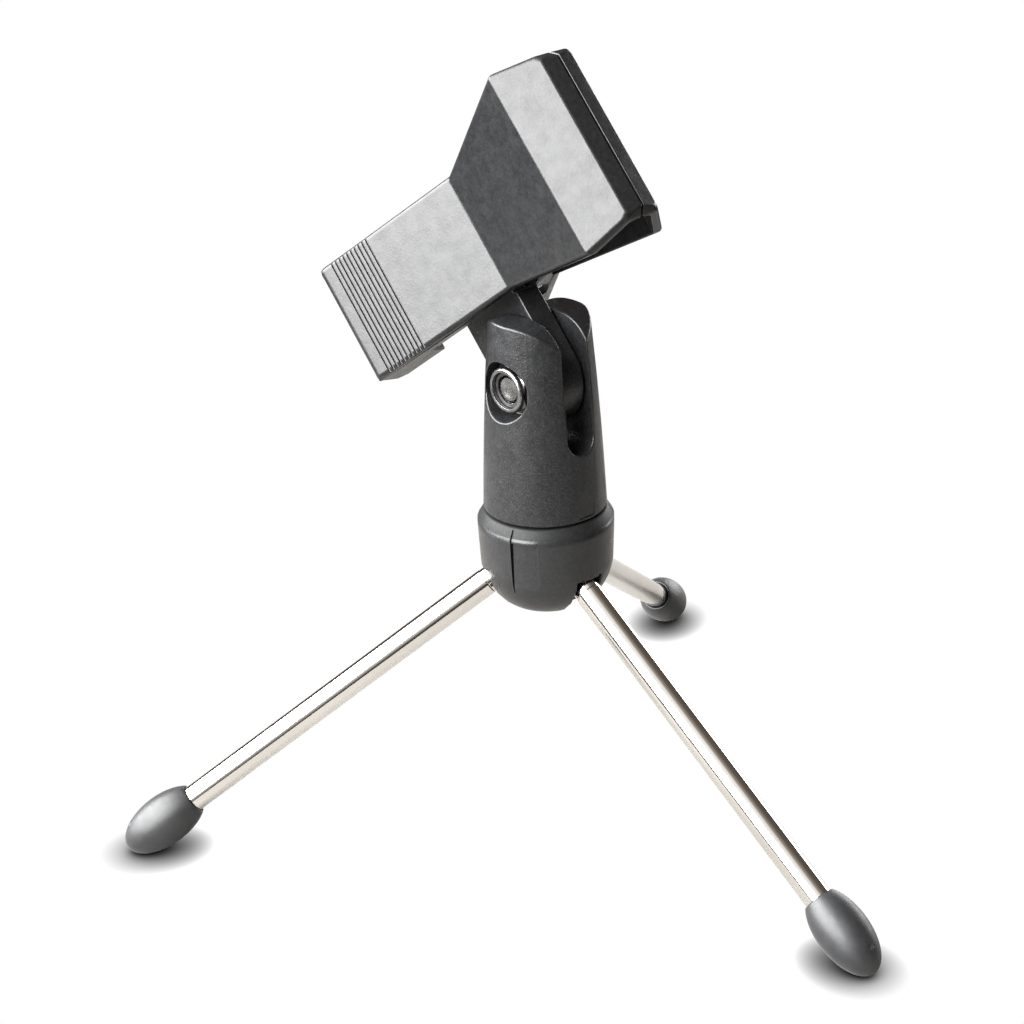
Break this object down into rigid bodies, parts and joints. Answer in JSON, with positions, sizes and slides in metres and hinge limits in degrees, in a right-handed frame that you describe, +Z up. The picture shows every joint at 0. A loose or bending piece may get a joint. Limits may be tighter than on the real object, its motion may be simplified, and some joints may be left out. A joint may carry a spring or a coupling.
{
  "type": "desktop microphone stand",
  "caption": "Folding desktop microphone stand: tripod hub with tube legs and rubber feet, a slotted swivel post and a sprung clothespin-style clip that tilts.",
  "frame": {"origin": "centre of the bounding box at the surface the feet stand on", "axes": "+Z up; +X the way the clip points, across the tilt screw; +Y along the tilt screw, towards its head"},
  "size_m": [0.152, 0.171, 0.1764],
  "materials": {
    "clip_plastic": "satin black moulded plastic, fine spark-eroded texture",
    "hub_plastic": "satin black moulded plastic, smoother than the post",
    "nickel_tube": "bright nickel plating, slightly warm",
    "plain_steel": "zinc plated steel",
    "spring_steel": "oiled spring wire",
    "brass": "turned brass",
    "nylon": "dull nylon",
    "rubber": "dark grey rubber, dull with a soft sheen"
  },
  "bodies": {
    "base": {"hub_body": "hub_plastic", "hub_stud": "plain_steel", "hub_washer": "plain_steel", "hub_screw": "plain_steel", "leg_pin_1": "plain_steel", "leg_pin_2": "plain_steel", "leg_pin_3": "plain_steel"},
    "post": {"post": "clip_plastic", "thread_adaptor": "brass", "tilt_screw": "plain_steel", "lock_nut": "plain_steel", "lock_nut_insert": "nylon", "friction_washer_right": "nylon", "friction_washer_left": "nylon"},
    "bracket": {"clip_bracket": "clip_plastic", "hinge_pin": "plain_steel", "pin_clip": "spring_steel"},
    "jaw_right": {"jaw_right": "clip_plastic", "hinge_spring_right": "spring_steel"},
    "jaw_left": {"jaw_left": "clip_plastic", "hinge_spring_left": "spring_steel"},
    "leg_1": {"leg_eye_1": "plain_steel", "leg_tube_1": "nickel_tube", "foot_1": "rubber"},
    "leg_2": {"leg_eye_2": "plain_steel", "leg_tube_2": "nickel_tube", "foot_2": "rubber"},
    "leg_3": {"leg_eye_3": "plain_steel", "leg_tube_3": "nickel_tube", "foot_3": "rubber"}
  },
  "joints": [
    {"name": "leg_1_fold", "type": "hinge", "parent": "base", "child": "leg_1", "pos_m": [-0.01327, -0.00176, 0.0604], "axis": [0.0314, 0.9995, 0], "range_deg": [0, 56.4]},
    {"name": "leg_2_fold", "type": "hinge", "parent": "base", "child": "leg_2", "pos_m": [-0.02651, 0.00645, 0.0604], "axis": [-0.8813, -0.4726, 0], "range_deg": [0, 56.4]},
    {"name": "leg_3_fold", "type": "hinge", "parent": "base", "child": "leg_3", "pos_m": [-0.027, -0.00913, 0.0604], "axis": [0.8499, -0.527, 0], "range_deg": [0, 56.4]},
    {"name": "post_swivel", "type": "hinge", "parent": "base", "child": "post", "pos_m": [-0.02226, -0.00148, 0.0748], "axis": [0, 0, 1], "range_deg": [-180, 180]},
    {"name": "clip_tilt", "type": "hinge", "parent": "post", "child": "bracket", "pos_m": [-0.02226, -0.00148, 0.104], "axis": [0, 1, 0], "range_deg": [-48.5, 100]},
    {"name": "jaw_open", "type": "hinge", "parent": "bracket", "child": "jaw_right", "pos_m": [-0.03335, -0.00148, 0.13464], "axis": [0.6626, 0, -0.749], "range_deg": [0, 18], "stiffness_Nm_per_rad": 0.6, "springref_deg": -20.05},
    {"name": "jaw_open_left", "type": "hinge", "parent": "bracket", "child": "jaw_left", "pos_m": [-0.03335, -0.00148, 0.13464], "axis": [0.6626, 0, -0.749], "range_deg": [-18, 0], "stiffness_Nm_per_rad": 0.6, "springref_deg": 20.05}
  ],
  "couplings": [
    {"joint": "jaw_open_left", "follows": "jaw_open", "ratio": -1}
  ]
}
